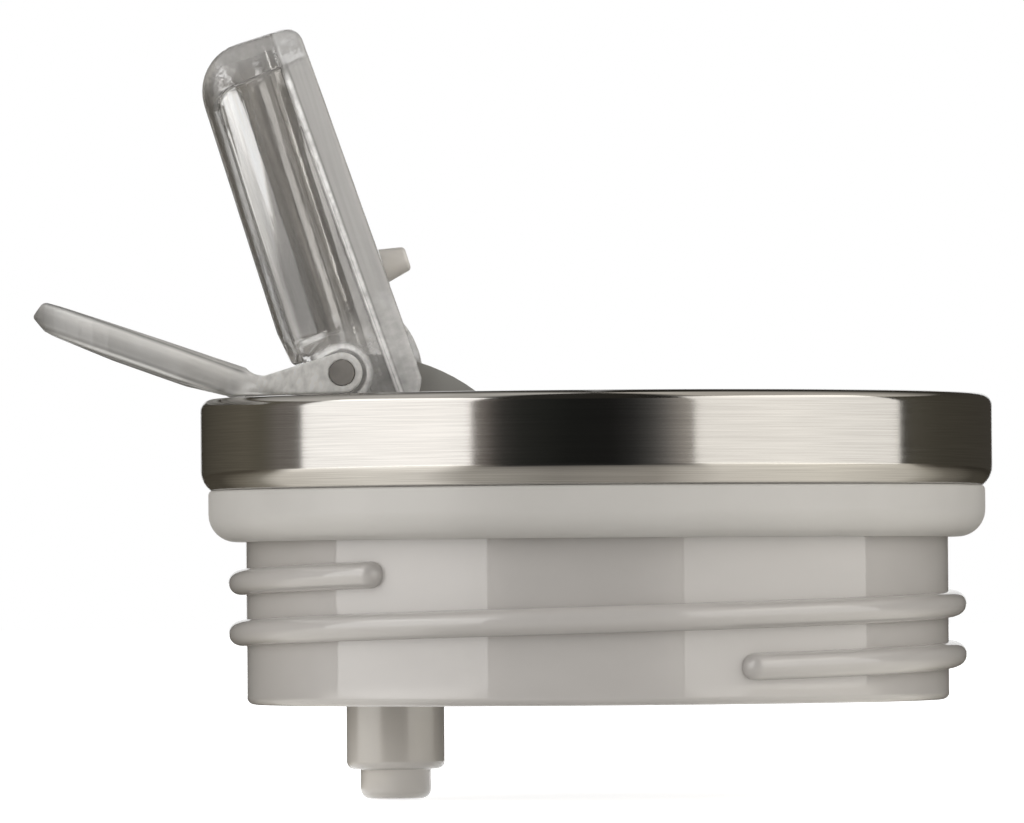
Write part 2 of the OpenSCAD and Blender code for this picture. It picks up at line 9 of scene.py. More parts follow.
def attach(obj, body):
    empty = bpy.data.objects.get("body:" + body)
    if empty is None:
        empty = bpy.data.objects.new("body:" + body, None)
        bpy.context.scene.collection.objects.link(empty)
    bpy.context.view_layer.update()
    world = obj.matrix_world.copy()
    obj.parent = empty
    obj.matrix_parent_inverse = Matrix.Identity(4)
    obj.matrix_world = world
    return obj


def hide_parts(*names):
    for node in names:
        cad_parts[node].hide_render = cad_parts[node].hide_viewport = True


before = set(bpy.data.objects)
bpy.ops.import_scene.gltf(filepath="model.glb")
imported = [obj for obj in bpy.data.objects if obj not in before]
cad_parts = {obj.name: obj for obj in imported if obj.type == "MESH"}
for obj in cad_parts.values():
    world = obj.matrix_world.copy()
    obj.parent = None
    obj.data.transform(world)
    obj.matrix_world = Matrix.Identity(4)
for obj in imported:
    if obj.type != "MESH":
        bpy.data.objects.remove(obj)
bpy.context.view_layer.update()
print("frame loaded:", len(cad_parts), "nodes")

mm = 0.001
hinge = {"x": -25.5, "z": 16.85, "openAngle": 107.35}


def pick(values, names):
    return [values[name] for name in names.split()]


# colours and outlines

def linearColour(red, green, blue):
    # 0-255 screen values to the linear colour a shader wants
    shares = [v / 255 for v in (red, green, blue)]
    return tuple(v / 12.92 if v <= 0.04045 else ((v + 0.055) / 1.055) ** 2.4 for v in shares) + (1.0,)


def grey(shade):
    return (shade, shade, shade, 1)


def roundedOutline(corners, steps):
    # corners are (a, b, radius); each is replaced by an arc
    points = []
    for i, (a, b, radius) in enumerate(corners):
        here = Vector((a, b))
        before = (Vector(corners[i - 1][:2]) - here).normalized()
        after = (Vector(corners[(i + 1) % len(corners)][:2]) - here).normalized()
        if radius == 0:
            points.append((a, b))
            continue
        half = math.acos(max(-1, min(1, before.dot(after)))) / 2
        centre = here + (before + after).normalized() * radius / math.sin(half)
        start = here + before * radius / math.tan(half) - centre
        end = here + after * radius / math.tan(half) - centre
        a0 = math.atan2(start.y, start.x)
        turn = (math.atan2(end.y, end.x) - a0 + 3 * math.pi) % (2 * math.pi) - math.pi
        for k in range(steps + 1):
            angle = a0 + turn * k / steps
            points.append((centre.x + radius * math.cos(angle), centre.y + radius * math.sin(angle)))
    return points


def arcPoints(centre, radius, start, end, steps):
    angles = [math.radians(start + (end - start) * k / steps) for k in range(steps + 1)]
    return [(centre[0] + radius * math.cos(a), centre[1] + radius * math.sin(a)) for a in angles]


# objects and meshes

def addObject(name, data):
    added = bpy.data.objects.new(name, data)
    bpy.context.scene.collection.objects.link(added)
    return added


def giveMaterial(piece, material):
    piece.data.materials.clear()
    piece.data.materials.append(material)


def finishPiece(piece, body, replaced, slotName, material):
    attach(piece, body)
    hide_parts(*replaced)
    giveMaterial(piece, material)
    print(piece.name, len(piece.data.polygons), "faces")


def cleanMesh(name, vertices, faces):
    # vertices in millimetres, in the lid's frame
    mesh = bpy.data.meshes.new(name)
    mesh.from_pydata([tuple(v) for v in np.asarray(vertices, float) * mm], [], faces)
    mesh.validate()
    shell = bmesh.new()
    shell.from_mesh(mesh)
    bmesh.ops.remove_doubles(shell, verts=shell.verts, dist=1e-7)
    bmesh.ops.recalc_face_normals(shell, faces=shell.faces)
    shell.to_mesh(mesh)
    shell.free()
    return mesh


def keepFlats(piece, sharpAngle=35):
    # smooth shading that leaves flat faces flat and corners sharp
    piece.data.shade_smooth()
    piece.data.set_sharp_from_angle(angle=math.radians(sharpAngle))
    normals = piece.modifiers.new("flatsStayFlat", "WEIGHTED_NORMAL")
    normals.keep_sharp = True
    normals.weight = 100


def newPiece(name, vertices, faces, *finish):
    piece = addObject(name, cleanMesh(name, vertices, faces))
    keepFlats(piece)
    finishPiece(piece, *finish)


def latheShape(outline, segments, centre=(0, 0)):
    # turns an outline of (radius, z) round an upright axis
    angles = np.linspace(0, 2 * math.pi, segments, endpoint=False)
    count = len(outline)
    vertices = [(centre[0] + r * math.cos(a), centre[1] + r * math.sin(a), z)
                for a in angles for r, z in outline]
    faces = []
    for i in range(segments):
        for k in range(count):
            j, m = (i + 1) % segments, (k + 1) % count
            if outline[k][0] < 1e-6 and outline[m][0] < 1e-6:
                continue
            faces.append((i * count + k, j * count + k, j * count + m, i * count + m))
    return vertices, faces


def outlineDistance(a, b, outline):
    # signed distance to a closed outline, negative inside
    nearest = np.full(np.broadcast(a, b).shape, 1e9)
    inside = np.zeros(nearest.shape, bool)
    for i, (x0, y0) in enumerate(outline):
        x1, y1 = outline[(i + 1) % len(outline)]
        ex, ey = x1 - x0, y1 - y0
        length = ex * ex + ey * ey
        if length < 1e-12:
            continue
        t = np.clip(((a - x0) * ex + (b - y0) * ey) / length, 0, 1)
        nearest = np.minimum(nearest, (a - x0 - t * ex) ** 2 + (b - y0 - t * ey) ** 2)
        crosses = (y0 > b) != (y1 > b)
        if abs(ey) > 1e-12:
            inside ^= crosses & (a < x0 + (b - y0) * ex / ey)
    return np.where(inside, -1, 1) * np.sqrt(nearest)


def roundAnd(a, b, radius):
    # both shapes at once, with the edge between them rounded
    return np.minimum(-radius, np.maximum(a, b)) + np.hypot(np.maximum(a + radius, 0), np.maximum(b + radius, 0))


def roundOr(a, b, radius):
    # either shape, with a fillet between them
    return np.maximum(radius, np.minimum(a, b)) - np.hypot(np.maximum(radius - a, 0), np.maximum(radius - b, 0))


def fieldShape(field, low, high, step):
    # skins the zero level of a distance field: one vertex a cell, pulled onto the surface
    axes = [np.arange(lo, hi + step, step) for lo, hi in zip(low, high)]
    values = field(axes[0][:, None, None], axes[1][None, :, None], axes[2][None, None, :])
    values = np.where(values == 0, 1e-9, values)
    size = np.array(values.shape) - 1
    total = np.zeros((*size, 3))
    crossings = np.zeros(size)
    for axis in range(3):
        others = [k for k in range(3) if k != axis]
        for p in (0, 1):
            for q in (0, 1):
                near = [slice(None)] * 3
                near[others[0]] = slice(p, p + size[others[0]])
                near[others[1]] = slice(q, q + size[others[1]])
                far = list(near)
                near[axis], far[axis] = slice(0, size[axis]), slice(1, size[axis] + 1)
                a, b = values[tuple(near)], values[tuple(far)]
                crossed = (a < 0) != (b < 0)
                share = np.where(crossed, a / np.where(crossed, a - b, 1), 0)
                total[..., axis] += share
                total[..., others[0]] += crossed * p
                total[..., others[1]] += crossed * q
                crossings += crossed
    used = crossings > 0
    number = np.full(size, -1)
    number[used] = np.arange(used.sum())
    cells = np.argwhere(used)
    points = (cells + total[used] / crossings[used][:, None]) * step + np.array(low)
    faces = []
    for axis in range(3):
        u, v = (axis + 1) % 3, (axis + 2) % 3
        near = [slice(1, n) for n in size]
        far = list(near)
        near[axis], far[axis] = slice(0, size[axis]), slice(1, size[axis] + 1)
        a, b = values[tuple(near)] < 0, values[tuple(far)] < 0
        edges = np.argwhere(a != b)
        outward = a[a != b]
        base = edges.copy()
        base[:, [k for k in range(3) if k != axis]] += 1
        stepU, stepV = np.eye(3, dtype=int)[u], np.eye(3, dtype=int)[v]
        quad = [number[tuple((base - stepU * i - stepV * j).T)] for i, j in ((1, 1), (0, 1), (0, 0), (1, 0))]
        quad = np.stack(quad, 1)
        quad[~outward] = quad[~outward][:, ::-1]
        faces.append(quad)
    faces = np.concatenate(faces)
    for _ in range(3):  # each pull brings the points closer to the surface
        pull = np.clip(field(*points.T), -step / 2, step / 2)
        points -= pull[:, None] * fieldSlope(field, points)
    return points, faces, fieldSlope(field, points)


def fieldSlope(field, points, reach=0.03):
    slope = np.stack([
        field(*(points + offset).T) - field(*(points - offset).T) for offset in np.eye(3) * reach
    ], 1)
    return slope / np.maximum(np.linalg.norm(slope, axis=1), 1e-9)[:, None]


def fieldPiece(name, field, low, high, step, placed, *finish):
    points, faces, normals = fieldShape(field, low, high, step)
    turned = np.array(placed.to_3x3())
    points = points @ turned.T + np.array(placed.translation)
    mesh = bpy.data.meshes.new(name)
    mesh.from_pydata((points * mm).tolist(), [], faces.tolist())
    mesh.shade_smooth()
    mesh.normals_split_custom_set_from_vertices((normals @ turned.T).tolist())
    finishPiece(addObject(name, mesh), *finish)


# the hinge's frame, and the spout's own frame turned up as in the photo
atHinge = Matrix.Translation((hinge["x"], 0, hinge["z"]))
openedSpout = atHinge @ Matrix.Rotation(math.radians(-hinge["openAngle"]), 4, "Y")


# nodes

def feed(tree, node, inputs):
    # a plain value is set on the socket itself, another node's output is linked to it
    for name, value in dict(inputs).items():
        if isinstance(value, bpy.types.NodeSocket):
            tree.links.new(value, node.inputs[name])
        else:
            node.inputs[name].default_value = value


def addNode(tree, kind, inputs=(), **settings):
    node = tree.nodes.new("ShaderNode" + kind)
    for name, value in settings.items():
        setattr(node, name, value)
    feed(tree, node, inputs)
    return node


def objectPlace(tree):
    return addNode(tree, "TexCoord").outputs["Object"]


def vectorLength(tree, vector):
    return addNode(tree, "VectorMath", {0: vector}, operation="LENGTH").outputs["Value"]


def maths(tree, operation, *values):
    return addNode(tree, "Math", enumerate(values), operation=operation).outputs["Value"]


def product(tree, first, *others):
    for other in others:
        first = maths(tree, "MULTIPLY", first, other)
    return first


def valueBetween(tree, value, low, high, start=0, end=1, blend="LINEAR"):
    # low at start, high at end
    spread = addNode(tree, "MapRange", {
        "Value": value, "From Min": start, "From Max": end, "To Min": low, "To Max": high}, interpolation_type=blend)
    return spread.outputs["Result"]


def fadeIn(tree, value, start, end):
    # 0 at start, 1 at end, smooth in between
    low, high = (0, 1) if start < end else (1, 0)
    return valueBetween(tree, value, low, high, min(start, end), max(start, end), "SMOOTHSTEP")


def colourRamp(tree, factor, stops):
    # stops: (position, colour); the ramp's own two stops become the first and the last
    ramp = addNode(tree, "ValToRGB", {"Fac": factor})
    elements = ramp.color_ramp.elements
    for element, (position, colour) in zip(elements, (stops[0], stops[-1])):
        element.position, element.color = position, colour
    for position, colour in stops[1:-1]:
        elements.new(position).color = colour
    return ramp.outputs["Color"]


def colourBetween(tree, factor, dark, light):
    return colourRamp(tree, factor, ((0.35, linearColour(*dark)), (0.65, linearColour(*light))))


def shadesAlong(tree, value, stops):
    # stops: (millimetres, shade), blended in between
    low, high = stops[0][0], stops[-1][0]
    spread = valueBetween(tree, value, 0, 1, low, high)
    return colourRamp(tree, spread, [((place - low) / (high - low), grey(shade)) for place, shade in stops])


def mixShades(tree, factor, a, b, blend="MIX"):
    mix = addNode(tree, "Mix", data_type="RGBA", blend_type=blend)
    sockets = [socket.identifier for socket in mix.inputs]
    feed(tree, mix, {sockets.index("Factor_Float"): factor, sockets.index("A_Color"): a, sockets.index("B_Color"): b})
    return next(socket for socket in mix.outputs if socket.identifier == "Result_Color")


def multiplyShades(tree, a, b):
    return mixShades(tree, 1.0, a, b, "MULTIPLY")


def addNoise(tree, place, scale, detail=3, stretch=(1, 1, 1)):
    stretched = addNode(tree, "Mapping", {"Vector": place, "Scale": stretch}).outputs["Vector"]
    return addNode(tree, "TexNoise", {"Vector": stretched, "Scale": scale, "Detail": detail}).outputs["Fac"]


def addBump(tree, shader, height, distance):
    bump = addNode(tree, "Bump", {"Height": height, "Distance": distance})
    feed(tree, shader, {"Normal": bump.outputs["Normal"]})


def placeIn(tree, placed):
    # the place in millimetres in a part's own frame, and its x and z
    back = placed.inverted()
    place = addNode(tree, "Mapping", {
        "Vector": objectPlace(tree), "Scale": (1 / mm,) * 3, "Rotation": back.to_euler(),
        "Location": back.translation}).outputs["Vector"]
    parts = addNode(tree, "SeparateXYZ", {"Vector": place}).outputs
    return place, parts["X"], parts["Z"]


# materials: "dark" and "light" are 0-255 screen colours, "bump" is in metres

def nodeMaterial(name):
    material = bpy.data.materials.new(name)
    material.use_nodes = True
    return material, material.node_tree, material.node_tree.nodes["Principled BSDF"]


def brushedSteel(values):
    # brushed round the band: lines are long along it and fine across it
    material, tree, shader = nodeMaterial("brushedSteel")
    place = objectPlace(tree)
    parts = addNode(tree, "SeparateXYZ", {"Vector": place}).outputs
    flat = addNode(tree, "VectorMath", {0: place, 1: (1, 1, 0)}, operation="MULTIPLY").outputs["Vector"]
    across = maths(tree, "ADD", parts["Z"], vectorLength(tree, flat))
    lines = addNode(tree, "CombineXYZ", {"X": parts["X"], "Y": parts["Y"], "Z": across}).outputs["Vector"]
    fine = addNoise(tree, lines, 1, 4, values["fineLines"])
    broad = addNoise(tree, lines, 1, 2, values["broadLines"])
    tangent = addNode(tree, "Tangent", direction_type="RADIAL", axis="Z")
    feed(tree, shader, {
        "Metallic": 1, "Anisotropic": values["anisotropy"], "Tangent": tangent.outputs["Tangent"],
        "Base Color": colourBetween(tree, fine, values["dark"], values["light"]),
        "Roughness": valueBetween(tree, broad, *values["roughness"])})
    addBump(tree, shader, maths(tree, "ADD", fine, broad), values["bump"])
    return material


# what a moulding has where its own values don't say otherwise
plainMoulding = {
    "ior": 1.49, "coat": 0, "coatRoughness": 0.05, "coatIor": 1.5, "glow": 0, "glowReach": 0.002,
    "clouds": 60, "stretch": (1, 1, 1), "grain": 2500, "bump": 0.000004,
}


def mouldedPlastic(name, values):
    # satin moulding: cloudy colour, fine grain and a clear gloss over it
    values = {**plainMoulding, **values}
    material, tree, shader = nodeMaterial(name)
    place = objectPlace(tree)
    clouds = addNoise(tree, place, values["clouds"], 3, values["stretch"])
    feed(tree, shader, {
        "Base Color": colourBetween(tree, clouds, values["dark"], values["light"]),
        "Roughness": valueBetween(tree, clouds, *values["roughness"]), "IOR": values["ior"],
        "Coat Weight": values["coat"], "Coat Roughness": values["coatRoughness"], "Coat IOR": values["coatIor"],
        "Subsurface Weight": values["glow"], "Subsurface Radius": (1, 1, 1),
        "Subsurface Scale": values["glowReach"]})
    addBump(tree, shader, addNoise(tree, place, values["grain"], 2), values["bump"])
    return material


def smokyPlastic(name, values, placed, shades, lines=None):
    # clear moulding: a smoky tint with painted reflection bands and painted shade across the part, flow lines along
    # it, and hazy zones
    material, tree, shader = nodeMaterial(name)
    place, along, across = placeIn(tree, placed)
    flow = addNoise(tree, place, 1, 3, values["flowLines"])
    tint, glassy = shades(tree, along, across)
    tint = multiplyShades(tree, tint, valueBetween(tree, flow, *values["flowShades"]))
    # patchy at the hinge end: noise patches of lighter and darker tint, painted for the mottled reflections of the
    # thick, busy moulding
    scale, stretch, patchShades, patchZone = pick(values["patches"], "scale stretch shades zone")
    patches = valueBetween(tree, addNoise(tree, place, scale, 3, stretch), *patchShades)
    tint = mixShades(tree, fadeIn(tree, along, *patchZone), tint, multiplyShades(tree, tint, patches))
    clear = values["clear"]
    for way, lean, start, end, hazy in values["haze"]:
        first, second = (along, across) if way == "across" else (across, along)
        zone = fadeIn(tree, maths(tree, "MULTIPLY_ADD", first, lean, second), start, end)
        clear = product(tree, clear, maths(tree, "MULTIPLY_ADD", zone, 1 - hazy, hazy))
    if lines:
        # painted highlights on edges, white in the tint and less clear, so they stay visible from every side
        paintedHighlights = lines(tree, place, along, across)
        tint = mixShades(tree, paintedHighlights, tint, grey(1))
        clear = product(tree, clear, maths(tree, "MULTIPLY_ADD", paintedHighlights, -values["pale"], 1.0))
    if glassy:
        clear = maths(tree, "MULTIPLY_ADD", glassy, maths(tree, "SUBTRACT", 1.0, clear), clear)
    # waves in the moulding, strongest in the hazy zones
    scale, depth = values["ripple"]
    waves = product(tree, addNoise(tree, place, scale, 2), depth, maths(tree, "SUBTRACT", 1.0, clear))
    feed(tree, shader, {
        "Base Color": multiplyShades(tree, tint, values["tone"]), "Transmission Weight": clear, "IOR": values["ior"],
        "Roughness": valueBetween(tree, addNoise(tree, place, values["scuffs"], 4), *values["roughness"])})
    addBump(tree, shader, maths(tree, "MULTIPLY_ADD", flow, values["bump"], waves), 1.0)
    return material


# camera

cameraValues = {
    "place": (-8.49, -1000.0, -4.53), "target": (-8.49, 0.0, 13.0), "roll": 0.45, "lens": 347.7, "sensor": 36,
    "reach": (0.05, 50),
}


def makeCamera(values):
    data = bpy.data.cameras.new("photoCamera")
    data.lens, data.sensor_width = values["lens"], values["sensor"]
    data.clip_start, data.clip_end = values["reach"]
    camera = addObject("photoCamera", data)
    place, target = Vector(values["place"]) * mm, Vector(values["target"]) * mm
    look = (target - place).to_track_quat("-Z", "Y").to_matrix().to_4x4()
    roll = Matrix.Rotation(math.radians(-values["roll"]), 4, "Z")
    camera.matrix_world = Matrix.Translation(place) @ look @ roll
    bpy.context.scene.camera = camera
    bpy.context.scene.view_settings.view_transform = "Standard"
    print("camera set")


makeCamera(cameraValues)


# floor, world and lights

stageValues = {
    "floorZ": -26.15, "floorSize": 8.0, "floorColour": (0.80, 0.80, 0.79, 1),
    "floorGlow": (0.8, 1.0), "glowReach": (0.12, 0.5),
    "worldLight": (0.97, 0.98, 1.0, 1), "worldStrength": 0.43, "background": (1, 1, 1, 1),
}


def emptyTree(owner):
    owner.use_nodes = True
    owner.node_tree.nodes.clear()
    return owner.node_tree


def seenRays(tree):
    # 1 for rays that show the background: camera, mirror and glass rays
    path = addNode(tree, "LightPath").outputs
    seen = maths(tree, "MAXIMUM", path["Is Camera Ray"], path["Is Glossy Ray"])
    return maths(tree, "MAXIMUM", seen, path["Is Transmission Ray"])


def makeFloor(values):
    # a pale sweep: near the lid it takes the shadow, far off it is as white as the background
    half, z = values["floorSize"] / 2, values["floorZ"] * mm
    mesh = bpy.data.meshes.new("studioFloor")
    mesh.from_pydata([(-half, -half, z), (half, -half, z), (half, half, z), (-half, half, z)], [], [(0, 1, 2, 3)])
    floor = addObject("studioFloor", mesh)
    material = bpy.data.materials.new("paleFloor")
    tree = emptyTree(material)
    near = vectorLength(tree, objectPlace(tree))
    strength = valueBetween(tree, near, *values["floorGlow"], *values["glowReach"])
    glow = addNode(tree, "Emission", {"Strength": product(tree, seenRays(tree), strength)})
    paint = addNode(tree, "BsdfDiffuse", {"Color": values["floorColour"]})
    both = addNode(tree, "AddShader", {0: paint.outputs["BSDF"], 1: glow.outputs["Emission"]})
    addNode(tree, "OutputMaterial", {"Surface": both.outputs["Shader"]})
    giveMaterial(floor, material)


def makeWorld(values):
    world = bpy.context.scene.world = bpy.data.worlds.new("paleStudio")
    tree = emptyTree(world)
    ambient = addNode(tree, "Background", {"Color": values["worldLight"], "Strength": values["worldStrength"]})
    white = addNode(tree, "Background", {"Color": values["background"]})
    mix = addNode(tree, "MixShader", {
        "Fac": seenRays(tree), 1: ambient.outputs["Background"], 2: white.outputs["Background"]})
    addNode(tree, "OutputWorld", {"Surface": mix.outputs["Shader"]})


# softboxes: azimuths are seen from the lid, 0 towards the camera, positive to the right
softboxValues = {
    "distance": 0.70, "bottom": -0.024, "top": 0.62,
    "lamps": {
        "softboxLeft": {"azimuths": (-92.5, -35.5), "radiance": 1.85, "colour": (1.0, 0.985, 0.965)},
        "softboxRight": {"azimuths": (27, 95.5), "radiance": 1.5, "colour": (1.0, 0.975, 0.93)},
    },
}


def towards(azimuth):
    return Vector((math.sin(math.radians(azimuth)), -math.cos(math.radians(azimuth)), 0))


def makeSoftboxes(values):
    distance, bottom, top = pick(values, "distance bottom top")
    for name, lampValues in values["lamps"].items():
        ends = [towards(a) * distance for a in lampValues["azimuths"]]
        width, height = (ends[1] - ends[0]).length, top - bottom
        centre = (ends[0] + ends[1]) / 2 + Vector((0, 0, (top + bottom) / 2))
        data = bpy.data.lights.new(name, "AREA")
        data.shape = "RECTANGLE"
        data.size, data.size_y = width, height
        data.color = lampValues["colour"]
        data.energy = lampValues["radiance"] * math.pi * width * height
        lamp = addObject(name, data)
        lamp.rotation_mode = "QUATERNION"
        lamp.rotation_quaternion = Vector((-centre.x, -centre.y, 0)).normalized().to_track_quat("-Z", "Y")
        lamp.location = centre
        lamp.visible_camera = False


# glowing cards round the set, which only mirrors and glass see and which light nothing: their tones are painted
# reflections, the dark bands in the steel and the bright zones of the softboxes and of the lit floor
# tones: (azimuth, red, green, blue) on 0-255, blended in between
# cardFade: the floor card's near and far distance, and its strength at each
reflectionCardValues = {
    "radius": 0.85, "bottom": -0.0255, "top": 0.95, "gap": 12, "gapTop": 0.5,
    "wallTones": ((-178, 18, 15, 11), (-121.5, 118, 112, 99), (-112, 112, 107, 94),
                  (-107, 122, 117, 108), (-103.5, 136, 130, 124), (-96, 138, 132, 126), (-91, 76, 74, 70),
                  (-66, 108, 103, 98), (-46, 120, 114, 108), (-39, 96, 91, 87), (-35.5, 150, 143, 137),
                  (-32, 136, 129, 123), (-29.5, 94, 90, 86), (-27, 69, 68, 65), (-22, 52, 53, 50),
                  (-8, 37, 38, 36), (4, 35, 35, 34), (10, 54, 54, 53), (15, 87, 86, 84), (18.5, 124, 121, 118),
                  (23.5, 178, 172, 165), (26, 200, 193, 184), (27.5, 104, 100, 95), (55, 126, 122, 116),
                  (84, 72, 69, 64), (96, 66, 63, 57), (102, 98, 94, 83), (116, 86, 82, 72), (178, 56, 52, 48)),
    "ceilingTones": ((-178, 40, 36, 30), (-116, 235, 232, 226), (-50, 235, 232, 226),
                     (-34, 60, 58, 54), (24, 50, 48, 44), (40, 232, 226, 216), (110, 232, 226, 216),
                     (150, 60, 58, 52), (178, 56, 52, 48)),
    "cardFrom": 0.03, "cardFade": (0.08, 0.42, 1.32, 1.85),
    "nearTones": ((-178, 52, 48, 40), (-134, 76, 71, 62), (-116, 126, 120, 108),
                  (-104, 150, 145, 134), (-93, 226, 221, 211), (-60, 255, 251, 242), (-44, 250, 246, 238),
                  (-32, 186, 182, 174), (-10, 156, 152, 145), (14, 170, 165, 157), (30, 240, 235, 225),
                  (60, 250, 245, 233), (90, 216, 211, 200), (98, 182, 177, 165), (110, 129, 124, 114),
                  (134, 74, 70, 62), (178, 60, 56, 48)),
    "farTones": ((-178, 36, 32, 26), (-116, 74, 69, 60), (-104, 104, 99, 90),
                 (-95, 244, 240, 232), (-60, 255, 252, 245), (-42, 252, 248, 240), (-33, 118, 113, 107),
                 (-26, 36, 36, 35), (8, 33, 33, 32), (18, 76, 74, 71), (26, 124, 120, 115),
                 (31, 228, 224, 215), (60, 232, 227, 215), (92, 208, 204, 193), (99, 190, 185, 174),
                 (103, 116, 111, 102), (112, 66, 62, 54), (134, 48, 45, 39), (178, 36, 33, 28)),
    "glassTones": ((-178, 150, 146, 140), (178, 150, 146, 140)),
}


def roundTones(tree, around, tones):
    stops = [(0.5 + azimuth / 360, linearColour(*shade)) for azimuth, *shade in tones]
    return colourRamp(tree, around, stops + [(1.0, grey(1))])


def reflectionCardMaterial(name, tones, farTones, fade):
    material = bpy.data.materials.new(name)
    tree = emptyTree(material)
    # radial gradient: 0 to 1 round the set, starting and ending behind the lid
    turned = addNode(tree, "Mapping", {"Vector": objectPlace(tree), "Rotation": (0, 0, math.radians(90))})
    gradient = addNode(tree, "TexGradient", {"Vector": turned.outputs["Vector"]}, gradient_type="RADIAL")
    around = gradient.outputs["Fac"]
    colour, strength = roundTones(tree, around, tones), 1.0
    if farTones:
        near, far, low, high = fade
        spread = valueBetween(tree, vectorLength(tree, objectPlace(tree)), 0, 1, near, far)
        colour = mixShades(tree, spread, colour, roundTones(tree, around, farTones))
        strength = valueBetween(tree, spread, low, high)
    # the card glows in its tones: a painted reflection, not a lamp
    glow = addNode(tree, "Emission", {"Color": colour, "Strength": strength})
    addNode(tree, "OutputMaterial", {"Surface": glow.outputs["Emission"]})
    return material


def makeReflectionCard(name, rings, tones, gap=0, farTones=None, fade=None):
    # rings are (radius, z); the gap is centred behind the lid
    angles = np.linspace(-180 + gap, 180 - gap, 121)
    vertices = [(r * math.sin(math.radians(a)), -r * math.cos(math.radians(a)), z)
                for a in angles for r, z in rings]
    count = len(rings)
    faces = [(i * count + k, (i + 1) * count + k, (i + 1) * count + k + 1, i * count + k + 1)
             for i in range(len(angles) - 1) for k in range(count - 1)]
    mesh = bpy.data.meshes.new(name)
    mesh.from_pydata(vertices, [], faces)
    reflectionCard = addObject(name, mesh)
    giveMaterial(reflectionCard, reflectionCardMaterial(name, tones, farTones, fade))
    reflectionCard.visible_camera = reflectionCard.visible_diffuse = reflectionCard.visible_shadow = False
    return reflectionCard


def makeSurround(values):
    radius, bottom, top, gap, gapTop = pick(values, "radius bottom top gap gapTop")
    floorRings = [(values["cardFrom"], bottom), (radius, bottom)]
    overhead = [(radius, gapTop), (radius, top), (0.001, top)]
    makeReflectionCard("paintedReflectionWall", [(radius, bottom), (radius, gapTop)], values["wallTones"], gap)
    mirrored = [
        makeReflectionCard("ceilingCard", overhead, values["ceilingTones"]),
        makeReflectionCard("floorCard", floorRings, values["nearTones"], gap, values["farTones"], values["cardFade"])]
    throughGlass = [
        makeReflectionCard("darkCeiling", overhead, values["glassTones"]),
        makeReflectionCard("darkFloor", floorRings, values["glassTones"])]
    for reflectionCard in mirrored:
        reflectionCard.visible_transmission = False
    for reflectionCard in throughGlass:
        reflectionCard.visible_glossy = False


makeFloor(stageValues)
makeWorld(stageValues)
makeSoftboxes(softboxValues)
makeSurround(reflectionCardValues)
print("studio set")


# steel band

bandValues = {
    "radius": 40.0, "bottom": 5.2, "top": 14.4, "sheet": 0.9, "edge": 1.2, "roll": (0.9, 2.3), "rollSteps": 18,
    "lip": 1.8, "lipUnder": 13.55, "lipEdge": 0.35, "foot": 0.6, "innerEdge": 0.1, "segments": 360,
    "steel": {
        "dark": (172, 170, 167), "light": (184, 182, 179), "roughness": (0.07, 0.12), "anisotropy": 0.55,
        "fineLines": (90, 90, 9000), "broadLines": (45, 45, 1500), "bump": 0.0000014,
    },
}


def makeBand(values):
    outer, bottom, top, sheet, lipUnder, edge = pick(values, "radius bottom top sheet lipUnder innerEdge")
    inner = outer - sheet
    lip, foot, footTop = inner - values["lip"], inner - values["foot"], bottom + sheet
    # the wall curls in towards its lower edge, gently at first
    inset, rise = values["roll"]
    downs = np.linspace(1, 0, values["rollSteps"])
    roll = [(outer - inset * down ** 3, bottom + rise * (1 - down)) for down in downs]
    outline = roll + roundedOutline([
        (outer, top, values["edge"]), (lip, top, values["lipEdge"]), (lip, lipUnder, edge), (inner, lipUnder, edge),
        (inner, footTop, edge), (foot, footTop, edge), (foot, bottom, edge), (outer, bottom, 0)], 10)[:-1]
    newPiece("brushedBand", *latheShape(outline, values["segments"]), "lid", ["steel_band"], "steel",
             brushedSteel(values["steel"]))


# gasket

gasketValues = {
    "inner": 35.6, "outer": 39.25, "top": 5.2, "round": 2.8, "topEdge": 0.45, "innerEdge": 0.3, "segments": 300,
    "silicone": {
        "dark": (196, 193, 188), "light": (203, 200, 195), "roughness": (0.32, 0.42), "coat": 0.1,
        "coatRoughness": 0.2, "grain": 1800, "bump": 0.000006, "glow": 0.15,
    },
}


def makeGasket(values):
    inner, outer, top, edge = pick(values, "inner outer top innerEdge")
    outline = roundedOutline([
        (inner, 0, edge), (outer, 0, values["round"]), (outer, top, values["topEdge"]), (inner, top, edge)], 12)
    newPiece("softGasket", *latheShape(outline, values["segments"]), "lid", ["rim_gasket"], "gasket_silicone",
             mouldedPlastic("gasketSilicone", values["silicone"]))


# threaded body

bodyValues = {
    "radius": 35.5, "bottom": -16.4, "top": 11.5, "wall": 2.2, "floor": 2.0, "edge": 0.8, "rimEdge": 0.3,
    "floorEdge": 1, "segments": 360,
    "pitch": 5.1, "threadZ": -11.8, "threadStart": -67, "threadTurn": 660, "threadHeight": 1.8, "threadWidth": 2.7,
    "threadEnding": 2.4, "threadSteps": 435, "threadSides": 14, "threadFullness": 0.8, "threadRoot": (0.05, 0.6),
    "stemX": -20.5, "stemHole": 5.05, "stemBoss": 8.35, "sealGroove": (1.9, 2),
    "ventX": -11.0, "ventBoss": 3.7, "ventHole": 0.9, "ventSocket": 2.6, "valveRecess": (3.2, 0.8),
    "bossHeight": 5.0, "bossSunk": 0.5,
    "plastic": {
        "dark": (184, 180, 176), "light": (191, 187, 183), "roughness": (0.38, 0.48), "coat": 0.9, "coatIor": 1.65,
        "coatRoughness": 0.03, "bump": 0.000002, "clouds": 45, "stretch": (1, 1, 2.2), "glow": 0.1,
    },
}


